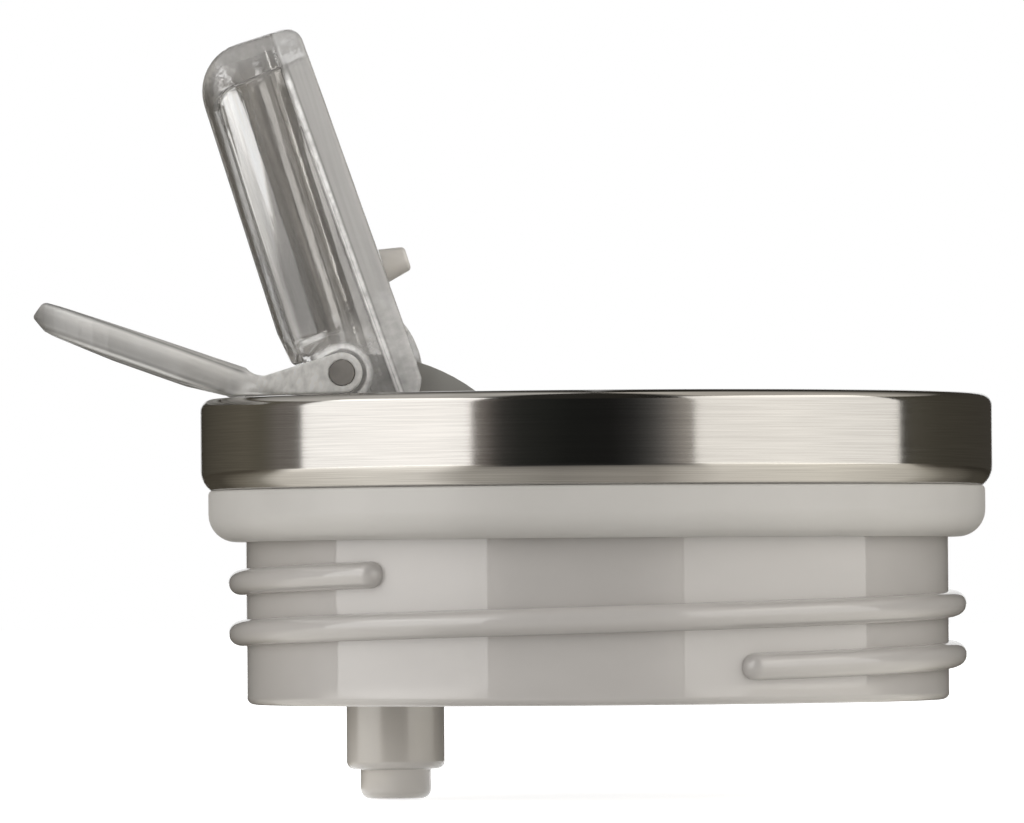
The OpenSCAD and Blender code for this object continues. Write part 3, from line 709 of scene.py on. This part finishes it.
def threadShape(values):
    # one rounded ridge that climbs round the neck and fades in at both ends
    sides, total, ending, wall = pick(values, "threadSides threadTurn threadEnding radius")
    sunk, rootDepth = values["threadRoot"]
    fine = ending * (1 - np.cos(np.linspace(0, math.pi / 2, 9)))
    middles = np.linspace(ending, total - ending, values["threadSteps"])[1:-1]
    turns = np.concatenate([fine, middles, (total - fine)[::-1]])
    vertices, faces = [], []
    for turned in turns:
        left = max(0.0, 1 - min(turned, total - turned) / ending)
        size = max(0.06, math.sqrt(1 - left * left))
        angle = values["threadStart"] + turned
        middle = values["threadZ"] + values["pitch"] * angle / 360
        half = values["threadWidth"] / 2 * (0.15 + 0.85 * size)
        ring = []
        for k in range(sides + 1):
            a = math.radians(-90 + 180 * k / sides)
            bulge = math.copysign(abs(math.cos(a)) ** values["threadFullness"], math.cos(a))
            ring.append((wall - sunk + (values["threadHeight"] + sunk) * size * bulge, middle + half * math.sin(a)))
        ring += [(wall - rootDepth, middle + half), (wall - rootDepth, middle - half)]
        turn = math.radians(angle)
        vertices += [(r * math.cos(turn), r * math.sin(turn), z) for r, z in ring]
    side = sides + 3
    last = (len(turns) - 1) * side
    for first in range(0, last, side):
        for k in range(side):
            a, b = first + k, first + (k + 1) % side
            faces.append((a, b, b + side, a + side))
    faces += [tuple(range(side))[::-1], tuple(range(last, last + side))]
    return vertices, faces


def combine(piece, tools, operation):
    for tool in tools:
        cut = piece.modifiers.new(operation.lower(), "BOOLEAN")
        cut.operation, cut.object, cut.solver = operation, tool, "EXACT"
    bpy.context.view_layer.update()
    evaluated = piece.evaluated_get(bpy.context.evaluated_depsgraph_get())
    mesh = bpy.data.meshes.new_from_object(evaluated)
    piece.modifiers.clear()
    piece.data = mesh
    for tool in tools:
        bpy.data.objects.remove(tool)


def plainObject(name, vertices, faces):
    return addObject(name, cleanMesh(name, vertices, faces))


def rod(name, x, radius, low, high, segments=96):
    return plainObject(name, *latheShape([(0, low), (radius, low), (radius, high), (0, high)], segments, (x, 0)))


def makeBody(values):
    radius, bottom, top, edge = pick(values, "radius bottom top rimEdge")
    stemX, stemHole, ventX = pick(values, "stemX stemHole ventX")
    inner, floorTop = radius - values["wall"], bottom + values["floor"]
    bossFoot, bossTop = bottom + values["bossSunk"], bottom + values["bossHeight"]
    outline = roundedOutline([
        (0, bottom, 0), (radius, bottom, values["edge"]), (radius, top, edge), (inner, top, edge),
        (inner, floorTop, values["floorEdge"]), (0, floorTop, 0)], 10)
    body = plainObject("threadedCup", *latheShape(outline, values["segments"]))
    combine(body, [
        plainObject("ridge", *threadShape(values)),
        rod("stemBoss", stemX, values["stemBoss"], bossFoot, bossTop),
        rod("ventBoss", ventX, values["ventBoss"], bossFoot, bossTop)], "UNION")
    grooveOut, grooveHeight = values["sealGroove"]
    recessRadius, recessDepth = values["valveRecess"]
    # a cutter that goes through a face stands 1 mm past it
    combine(body, [
        rod("stemHole", stemX, stemHole, bottom - 1, bossTop + 1),
        rod("sealGroove", stemX, stemHole + grooveOut, floorTop, floorTop + grooveHeight),
        rod("ventHole", ventX, values["ventHole"], bottom - 1, floorTop + 1),
        rod("ventSocket", ventX, values["ventSocket"], floorTop, bossTop + 1),
        rod("valveRecess", ventX, recessRadius, bottom - 1, bottom + recessDepth)], "DIFFERENCE")
    keepFlats(body)
    finishPiece(body, "lid", ["threaded_body"], "body_plastic", mouldedPlastic("bodyPlastic", values["plastic"]))


# straw stem

stemValues = {
    "x": -20.5, "radius": 4.95, "shoulder": -23.0, "tip": -26.0, "nipple": 3.55, "bore": 2.2, "top": 3.6,
    "socket": 3.6, "socketEnd": -3.3, "segments": 128,
    "plastic": {
        "dark": (216, 211, 204), "light": (214, 209, 202), "roughness": (0.3, 0.4), "coat": 0.9, "coatIor": 1.75,
        "coatRoughness": 0.04, "bump": 0.000002, "clouds": 90, "glow": 0.1,
    },
}


def makeStem(values):
    radius, nipple, bore, socket = pick(values, "radius nipple bore socket")
    tip, shoulder, top, socketEnd = pick(values, "tip shoulder top socketEnd")
    outline = roundedOutline([
        (bore, tip, 0.3), (nipple, tip, 1.0), (nipple, shoulder, 0.15), (radius, shoulder, 0.8), (radius, top, 0.4),
        (socket, top, 0.2), (socket, socketEnd, 0.1), (bore, socketEnd, 0.2)], 8)
    newPiece("strawStem", *latheShape(outline, values["segments"], (values["x"], 0)), "lid", ["straw_stem"],
             "stem_plastic", mouldedPlastic("stemPlastic", values["plastic"]))


# spout, in its own frame: x along it from the pin, z across it, y sideways

spoutValues = {
    "length": 35.0, "top": 5.05, "underBase": 7.45, "underTip": 6.35, "barrel": 8.0, "lugTop": 3.1, "lugFront": 2.35,
    "hoodHalf": 7.2, "hoodRound": (2.6, 1.6, 10, 22), "rimHalf": 7.9, "rimRound": 3.4, "rimBase": -5.1, "rimTip": -3.5,
    "tubeHalf": 3.65, "seatSide": 31.15, "notchFrom": 5, "slotOut": 6.25, "slotEnd": 4.2, "roof": 3.7,
    "bore": 2.2, "boreZ": -1.0, "mouth": (0.45, 0.97, 0.1), "pinHole": 1.31, "step": 0.24, "spare": 0.6,
    # shallow grooves in the cheeks: a ring round the pin and a mark beside it
    "groove": 0.22, "ringRadius": 2.75, "mark": {"at": 4.3, "lean": 0.05, "half": 0.2, "middle": 1.2, "reach": 2.2},
    "plastic": {
        "tone": (1.0, 0.988, 0.972, 1), "clear": 0.93, "pale": 1.0, "roughness": (0.05, 0.1), "ior": 1.49,
        # haze: which way, lean, where it is thickest, where it ends, and the clearness that it leaves
        "haze": (("along", 0.25, 1.0, 6.0, 0.8), ("along", 0, 34.5, 29.5, 0.7), ("across", -0.03, -4.9, -4.3, 0.68)),
        "flowLines": (0.07, 1.3, 1.9), "flowShades": (0.84, 1.2), "scuffs": 0.9, "bump": 0.00002,
        "ripple": (0.9, 0.0002),
        "patches": {"scale": 1.3, "stretch": (1, 1, 0.6), "shades": (0.6, 1.45), "zone": (8.0, 3.0)},
    },
    # shades are (place across the spout, shade), near its tip and near its base: painted reflection bands, a dark
    # channel and light lines, over a smoky tint where the walls are thick
    "tipShades": ((-8, 0.86), (-4.4, 0.86), (-4.25, 0.6), (-3.45, 0.6), (-3.3, 0.86), (-2.4, 0.88), (-1.9, 0.96),
                  (-1.7, 0.92), (0.2, 0.92), (0.8, 0.76), (2.8, 0.74), (3.15, 1), (3.35, 1), (3.7, 0.6), (5.2, 0.52)),
    "baseShades": ((-8, 0.86), (-4.4, 0.86), (-4.25, 0.6), (-3.45, 0.6), (-3.3, 0.8), (-2.4, 0.82), (-1.9, 0.92),
                   (-1.7, 0.97), (0.3, 0.96), (0.9, 0.72), (2.6, 0.68), (2.9, 1), (3.15, 1), (3.5, 0.62), (5.2, 0.56)),
    "shadesMeet": (10.0, 18.0), "lean": {"slope": 0.033, "from": 29, "side": (2.2, 0.2)},
    "tip": {"shade": 0.72, "zone": (30.6, 32.0)},
    "base": {"shade": 0.95, "zone": (5.6, 2.6), "side": (-3.6, -3.2)},
    "wedge": {"at": (29.3, 0.19), "slope": 0.138, "edge": (-0.15, 0.3), "inner": (3.3, 3.0), "end": (31.4, 30.2)},
    # lines: painted highlights, each given by its middle and half width; patches break them up
    "lines": {
        "rimSlope": 0.033, "rim": (-4.81, 0.42), "rimEnd": (31.0, 29.5), "ring": (2.75, 0.4), "ribLean": 0.1,
        "ribs": ((4.3, 0.45, 0.1, 3.4), (2.6, 0.4, -1.2, 2.9)), "patchScale": 0.8, "patchShades": (0.2, 1.5),
    },
}


def spoutShades(tree, along, across):
    # painted reflections: bands of dark and light across the spout over a smoky tint where the walls are thick; the
    # hollow beside the tube is a clear, untinted wedge that narrows towards the hinge
    lean, tip, base, wedge = pick(spoutValues, "lean tip base wedge")
    # the lines on the rim's side lean a little towards the hinge
    shift = maths(tree, "MULTIPLY_ADD", along, -lean["slope"], lean["from"] * lean["slope"])
    line = maths(tree, "ADD", across, product(tree, shift, fadeIn(tree, across, *lean["side"])))
    low, high = [shadesAlong(tree, line, stops) for stops in pick(spoutValues, "baseShades tipShades")]
    tint = mixShades(tree, fadeIn(tree, along, *spoutValues["shadesMeet"]), low, high)
    (wedgeX, wedgeZ), slope = wedge["at"], wedge["slope"]
    edge = maths(tree, "MULTIPLY_ADD", along, slope, -slope * wedgeX - wedgeZ)
    inside = product(tree, fadeIn(tree, maths(tree, "ADD", across, edge), *wedge["edge"]),
                     fadeIn(tree, across, *wedge["inner"]), fadeIn(tree, along, *wedge["end"]))
    tint = mixShades(tree, inside, tint, grey(1))
    tint = mixShades(tree, fadeIn(tree, along, *tip["zone"]), tint, grey(tip["shade"]))
    atBase = product(tree, fadeIn(tree, along, *base["zone"]), fadeIn(tree, line, *base["side"]))
    return mixShades(tree, atBase, tint, grey(base["shade"])), inside


def onLine(tree, value, centre, half):
    # 1 on the line, fading to 0 at its edges
    off = maths(tree, "ABSOLUTE", maths(tree, "SUBTRACT", value, centre))
    return fadeIn(tree, off, half, half * 0.4)


def spoutHighlights(tree, place, along, across):
    # painted highlights: along the rim's upper edge, round the ring groove at the pin and on two ribs beside it
    values = spoutValues["lines"]
    rim = onLine(tree, maths(tree, "MULTIPLY_ADD", along, -values["rimSlope"], across), *values["rim"])
    rim = product(tree, rim, fadeIn(tree, along, *values["rimEnd"]))
    flat = addNode(tree, "CombineXYZ", {"X": along, "Z": across}).outputs["Vector"]
    pale = maths(tree, "MAXIMUM", rim, onLine(tree, vectorLength(tree, flat), *values["ring"]))
    for at, half, low, high in values["ribs"]:
        rib = onLine(tree, maths(tree, "MULTIPLY_ADD", across, values["ribLean"], along), at, half)
        reach = onLine(tree, across, (low + high) / 2, (high - low) / 2)
        pale = maths(tree, "MAXIMUM", pale, product(tree, rib, reach))
    patches = valueBetween(tree, addNoise(tree, place, values["patchScale"]), *values["patchShades"])
    return product(tree, pale, patches)


def spoutField(values):
    length, top, barrel, front, lugTop = pick(values, "length top barrel lugFront lugTop")
    underBase, rimTip, roof, tubeHalf, hoodHalf = pick(values, "underBase rimTip roof tubeHalf hoodHalf")
    heel = 180 + math.degrees(math.asin(underBase / barrel))
    lug = 180 - math.degrees(math.asin(lugTop / barrel))
    sideOutline = roundedOutline([
        (-0.5, lugTop, 0), (front, lugTop, 0.5), (front, top - 0.5, 0.4), (front + 3.5, top, 3), (length, top, 5.0),
        (length, -values["underTip"], 1.9), (0, -underBase, 0)], 10)
    sideOutline += arcPoints((0, 0), barrel, heel, lug, 24)
    # 9 and 12 mm are places outside the spout
    rimOutline = [(-9, values["rimBase"]), (length - 2, rimTip), (length + 1, rimTip), (length + 1, -9), (-9, -9)]
    baseArc = arcPoints((0, 0), barrel, heel, 183 + hinge["openAngle"] + values["seatSide"], 16)
    tubeOutline = baseArc + [(4, -4), (-2, -4)]
    opened = math.radians(hinge["openAngle"])
    notchArc = baseArc[values["notchFrom"]:]
    (firstX, firstZ), (lastX, lastZ) = notchArc[0], notchArc[-1]
    notchOutline = notchArc + [
        (lastX - 4 * math.cos(opened), lastZ - 4 * math.sin(opened)), (firstX * 1.5, firstZ * 1.5)]
    slotOutline = roundedOutline([
        (-12, -12, 0), (length - 3, -12, 0), (length - values["slotEnd"], roof, 2.2), (front, roof, 0),
        (front, 9, 0), (-12, 9, 0)], 10)
    edge, extra, start, run = values["hoodRound"]
    mouthDepth, mouthSlope, mouthStep = values["mouth"]
    groove, mark = pick(values, "groove mark")

    def field(x, y, z):
        across, fromPin = np.abs(y), np.hypot(x, z)
        side = outlineDistance(x, z, sideOutline)
        hood = roundAnd(side, across - hoodHalf, edge + extra * np.clip((x - start) / run, 0, 1))
        plan = roundAnd(x - length, across - values["rimHalf"], values["rimRound"])
        rim = roundAnd(np.maximum(side, outlineDistance(x, z, rimOutline)), plan, 0.5)
        tubeBase = np.maximum(outlineDistance(x, z, tubeOutline), across - tubeHalf - 0.1)
        solid = np.minimum(roundOr(hood, rim, 0.12), tubeBase)
        slot = roundAnd(outlineDistance(x, z, slotOutline),
                        np.maximum(across - values["slotOut"], tubeHalf - across), 0.35)
        notch = np.maximum(outlineDistance(x, z, notchOutline), across - tubeHalf - 0.3)
        bore = np.hypot(y, z - values["boreZ"]) - values["bore"]
        inMouth = x - (length - mouthDepth)
        flare = bore - np.maximum(0, inMouth) * mouthSlope - mouthStep * (inMouth > 0)
        pins = np.maximum(fromPin - values["pinHole"], tubeHalf - across)
        skin = hoodHalf - groove - across
        ring = np.maximum(np.abs(fromPin - values["ringRadius"]) - groove, skin)
        marks = np.maximum(np.abs(x - mark["at"] - mark["lean"] * z) - mark["half"],
                           np.abs(z - mark["middle"]) - mark["reach"])
        for hole, rounding in ((slot, 0.25), (notch, 0.1), (np.minimum(bore, flare), 0.2), (pins, 0.12),
                               (ring, 0.15), (np.maximum(marks, skin), 0.15)):
            solid = roundAnd(solid, -hole, rounding)
        return solid

    return field


def makeSpout(values):
    spare, barrel, rimHalf = pick(values, "spare barrel rimHalf")
    low = (-barrel - spare, -rimHalf - spare, -barrel - spare)
    high = (values["length"] + spare, rimHalf + spare, values["top"] + spare)
    fieldPiece("clearSpout", spoutField(values), low, high, values["step"], openedSpout, "spout", ["spout"],
               "clear_plastic", smokyPlastic("spoutPlastic", values["plastic"], openedSpout, spoutShades, spoutHighlights))


# vent plug

plugValues = {
    "reach": 9.25, "root": 1.75, "tip": 1.2, "length": 2.6, "under": 7.2, "nose": 0.45, "foot": 0.08, "segments": 64,
    "silicone": {
        "dark": (214, 209, 202), "light": (221, 216, 209), "roughness": (0.35, 0.45), "coat": 0.3, "glow": 0.3,
        "clouds": 300,
    },
}


def makePlug(values):
    root, tip, length = pick(values, "root tip length")
    outline = roundedOutline([
        (0, -length, 0), (tip, -length, values["nose"]), (root, 0, values["foot"]), (0, 0, 0)], 8)
    vertices, faces = latheShape(outline, values["segments"])
    place = openedSpout @ Matrix.Translation((values["reach"], 0, -values["under"]))
    newPiece("ventPlug", [place @ Vector(v) for v in vertices], faces, "spout", ["vent_plug"], "plug_silicone",
             mouldedPlastic("plugSilicone", values["silicone"]))


# carry loop, in the hinge's frame: its end is at -reach

loopValues = {
    "reach": 31.18, "slope": 19.9, "thick": 2.45, "crown": 0.32, "belly": 0.62, "half": 14.0, "bar": 4.6, "eye": 2.05,
    "armIn": 8.2, "armOut": 9.9, "kneeX": -10.8, "kneeZ": -2.2, "pinHole": 1.31, "step": 0.2, "boxTop": 8.5,
    "plastic": {
        "tone": (1.0, 0.985, 0.955, 1), "clear": 0.66, "roughness": (0.25, 0.35), "ior": 1.49,
        "haze": (("along", 0, -0.5, 2.5, 0.85), ("across", 0, 2.3, 1.6, 0.6)),
        "flowLines": (0.07, 0.6, 1.5), "flowShades": (0.86, 1.1), "scuffs": 0.9, "bump": 0.00003,
        "ripple": (0.8, 0.0002),
        "patches": {"scale": 1.5, "stretch": (1, 1, 0.6), "shades": (0.5, 1.5), "zone": (-0.5, 2.5)},
    },
    "armShade": 0.95, "armFrom": (-0.5, 1.0),
    # endShades darken the blade towards its end; edgeShades paint shade along its upper and lower edge and highlight
    # streaks between
    "endShades": ((-23, 0.62), (-20.5, 0.72), (-18.8, 0.95), (-16, 1), (4, 1)),
    "edgeShades": ((-0.9, 0.5), (-0.6, 0.4), (-0.5, 0.26), (-0.4, 0.5), (-0.28, 0.95), (-0.18, 0.9), (-0.02, 0.44),
                   (0.1, 0.46), (0.35, 0.66), (0.6, 0.6), (0.9, 0.64), (1.3, 0.74), (1.65, 0.95), (2.2, 0.98),
                   (2.38, 0.6), (2.5, 0.3), (2.58, 0.36), (2.64, 0.6), (3.0, 0.6)),
}


def loopShades(tree, along, across):
    # painted shade along the blade's upper and lower edge with painted highlight streaks between, and darker towards
    # its end
    edges, ends = pick(loopValues, "edgeShades endShades")
    blade = multiplyShades(tree, shadesAlong(tree, across, edges), shadesAlong(tree, along, ends))
    return mixShades(tree, fadeIn(tree, along, *loopValues["armFrom"]), blade, grey(loopValues["armShade"])), None


def loopField(values):
    kneeX, kneeZ, thick, crown, belly = pick(values, "kneeX kneeZ thick crown belly")
    reach, eye, half, bar, armIn, armOut = pick(values, "reach eye half bar armIn armOut")
    slope = math.tan(math.radians(values["slope"]))
    run, tip = reach + kneeX, -reach
    armOutline = [(0, -eye), (0, eye), (-0.8, eye - 0.15), (kneeX + 3, kneeZ + thick - 0.5),
                  (kneeX, kneeZ + thick), (kneeX - 1, kneeZ + 0.36), (kneeX, kneeZ)]
    bladeOutline = roundedOutline([
        (kneeX, kneeZ, 0.1), (kneeX + 2.6, kneeZ + thick * 0.5, 0.4), (kneeX + 1.2, kneeZ + thick + crown, 0.6),
        (tip + 3.1, kneeZ + (run - 3.1) * slope + thick + crown, 1.5), (tip + 1.3, kneeZ + run * slope + 2.2, 0.8),
        (tip, kneeZ + run * slope + 0.75, 0.35), (tip + 1.4, kneeZ + (run - 1.4) * slope - 0.3, 0.6),
        (kneeX - 13, kneeZ + 13 * slope - belly, 8), (kneeX - 5.6, kneeZ + 5.6 * slope - belly, 5)], 8)
    root, bend, innerBend, flare, end = kneeX + 2.8, kneeX - 0.2, kneeX - 1.6, kneeX - 6.2, tip - 0.5
    outer = roundedOutline([
        (root, armOut, 0), (bend, armOut, 4), (flare, half, 6), (end, half, 10), (end, -half, 10),
        (flare, -half, 6), (bend, -armOut, 4), (root, -armOut, 0)], 10)
    inner = roundedOutline([
        (root + 1, armIn, 0), (innerBend, armIn, 3), (flare - 2, half - bar, 4), (end + bar, half - bar, 6),
        (end + bar, bar - half, 6), (flare - 2, bar - half, 4), (innerBend, -armIn, 3), (root + 1, -armIn, 0)], 10)

    def field(x, y, z):
        across, fromPin = np.abs(y), np.hypot(x, z)
        armSide = np.minimum(outlineDistance(x, z, armOutline), fromPin - eye)
        arm = roundAnd(armSide, np.maximum(across - armOut, armIn - across), 0.3)
        plan = np.maximum(outlineDistance(x, y, outer), -outlineDistance(x, y, inner))
        blade = roundAnd(outlineDistance(x, z, bladeOutline), plan, 0.7)
        return roundAnd(roundOr(arm, blade, 0.4), values["pinHole"] - fromPin, 0.12)

    return field


def makeLoop(values):
    reach, half, kneeX, kneeZ = pick(values, "reach half kneeX kneeZ")
    low, high = (-reach - 1, -half - 0.6, kneeZ - 0.7), (values["eye"] + 0.6, half + 0.6, values["boxTop"])
    slope = Matrix.Rotation(math.radians(values["slope"]), 4, "Y")
    alongBlade = atHinge @ Matrix.Translation((kneeX, 0, kneeZ)) @ slope
    fieldPiece("clearLoop", loopField(values), low, high, values["step"], atHinge, "loop", ["carry_loop"],
               "clear_plastic", smokyPlastic("loopPlastic", values["plastic"], alongBlade, loopShades))


# deck, pins and inner parts: the CAD meshes with their own materials

partValues = {
    "deck": {"dark": (148, 146, 141), "light": (158, 156, 151), "roughness": (0.3, 0.4),
             "coat": 0.4, "coatRoughness": 0.08, "bump": 0.000003},
    "pin": {"dark": (122, 118, 114), "light": (136, 132, 127), "roughness": (0.3, 0.4),
            "coat": 0.3, "clouds": 500},
    "seal": {"dark": (196, 194, 190), "light": (208, 206, 202), "roughness": (0.45, 0.55),
             "glow": 0.2},
    "tube": {"dark": (172, 168, 161), "light": (184, 180, 174), "roughness": (0.35, 0.45)},
}
partNodes = {
    "deck": ["deck"], "pin": ["hinge_pin_front", "hinge_pin_back"],
    "seal": ["deck_seal", "spout_seat", "stem_seal", "vent_valve"], "tube": ["vent_tube"],
}


def dressNodes():
    for kind, names in partNodes.items():
        material = mouldedPlastic(kind + "Plastic", partValues[kind])
        for name in names:
            giveMaterial(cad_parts[name], material)


makeBand(bandValues)
makeGasket(gasketValues)
makeBody(bodyValues)
makeStem(stemValues)
makeSpout(spoutValues)
makePlug(plugValues)
makeLoop(loopValues)
dressNodes()
print("lid dressed")
